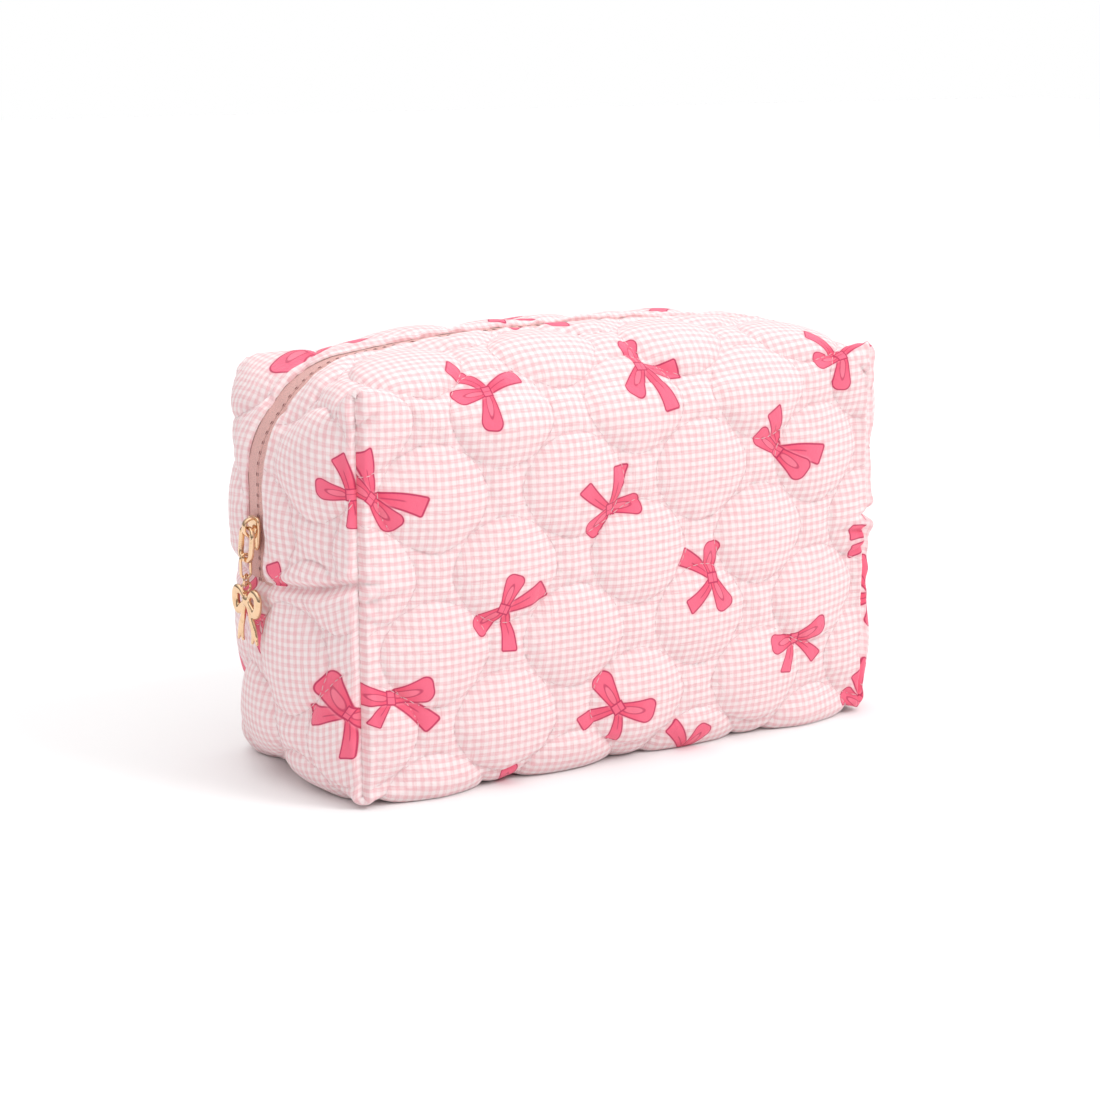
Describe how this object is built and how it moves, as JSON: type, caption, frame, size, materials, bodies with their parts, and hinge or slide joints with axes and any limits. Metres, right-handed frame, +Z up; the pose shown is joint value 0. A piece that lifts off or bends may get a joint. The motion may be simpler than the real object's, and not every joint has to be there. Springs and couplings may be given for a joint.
{
  "type": "quilted zip makeup bag",
  "caption": "Soft box-shaped zip pouch in quilted printed cloth, padded and lined, opening along the top and half way down both ends, with a bow charm on the zip pull.",
  "frame": {"origin": "centre of the flat patch of the bottom that the bag stands on", "axes": "+X along the zip, away from the end that holds the slider; +Y from the front to the back; +Z up"},
  "size_m": [0.2728, 0.106, 0.1654],
  "materials": {
    "cloth": "quilted printed cotton, pale pink gingham with bows",
    "wadding": "soft polyester wadding",
    "lining": "plain pale pink woven lining",
    "binding": "folded woven tape",
    "tape": "dusty rose woven zip tape",
    "coil": "dusty rose nylon coil",
    "gold": "polished pale gold plate"
  },
  "bodies": {
    "lower": {"left_end_seam_binding": "binding", "lower_back_left_corner_binding": "binding", "lower_back_right_corner_binding": "binding", "lower_cloth": "cloth", "lower_front_left_corner_binding": "binding", "lower_front_right_corner_binding": "binding", "lower_lining": "lining", "lower_wadding": "wadding", "right_end_seam_binding": "binding"},
    "front_jaw": {"front_cloth": "cloth", "front_lining": "lining", "front_wadding": "wadding", "front_zip_binding": "binding", "front_zip_coil": "coil", "front_zip_tape": "tape", "upper_front_left_corner_binding": "binding", "upper_front_right_corner_binding": "binding"},
    "back_jaw": {"back_cloth": "cloth", "back_lining": "lining", "back_wadding": "wadding", "back_zip_binding": "binding", "back_zip_coil": "coil", "back_zip_tape": "tape", "upper_back_left_corner_binding": "binding", "upper_back_right_corner_binding": "binding"},
    "slider": {"slider_body": "gold"},
    "pull": {"pull_frame": "gold"},
    "link": {"oval_link": "gold"},
    "ring": {"jump_ring": "gold"},
    "charm": {"bow_charm": "gold"}
  },
  "joints": [
    {"name": "front_jaw_open", "type": "hinge", "parent": "lower", "child": "front_jaw", "pos_m": [0, -0.053, 0.082], "axis": [1, 0, 0], "range_deg": [0, 30]},
    {"name": "back_jaw_open", "type": "hinge", "parent": "lower", "child": "back_jaw", "pos_m": [0, 0.053, 0.082], "axis": [-1, 0, 0], "range_deg": [0, 30]},
    {"name": "slider_travel", "type": "slide", "parent": "lower", "child": "slider", "axis": [0, 0, -1], "range_m": [-0.012, 0]},
    {"name": "pull_swing", "type": "hinge", "parent": "slider", "child": "pull", "pos_m": [-0.1357, 0, 0.0984], "axis": [0, 1, 0], "range_deg": [0, 120]},
    {"name": "link_swing", "type": "hinge", "parent": "pull", "child": "link", "pos_m": [-0.13693, 0, 0.08666], "axis": [0, 1, 0], "range_deg": [0, 20]},
    {"name": "ring_swing", "type": "hinge", "parent": "link", "child": "ring", "pos_m": [-0.13693, 0, 0.08166], "axis": [0, 1, 0], "range_deg": [0, 20]},
    {"name": "charm_swing", "type": "hinge", "parent": "ring", "child": "charm", "pos_m": [-0.13693, 0, 0.07691], "axis": [0, 1, 0], "range_deg": [0, 20]}
  ]
}
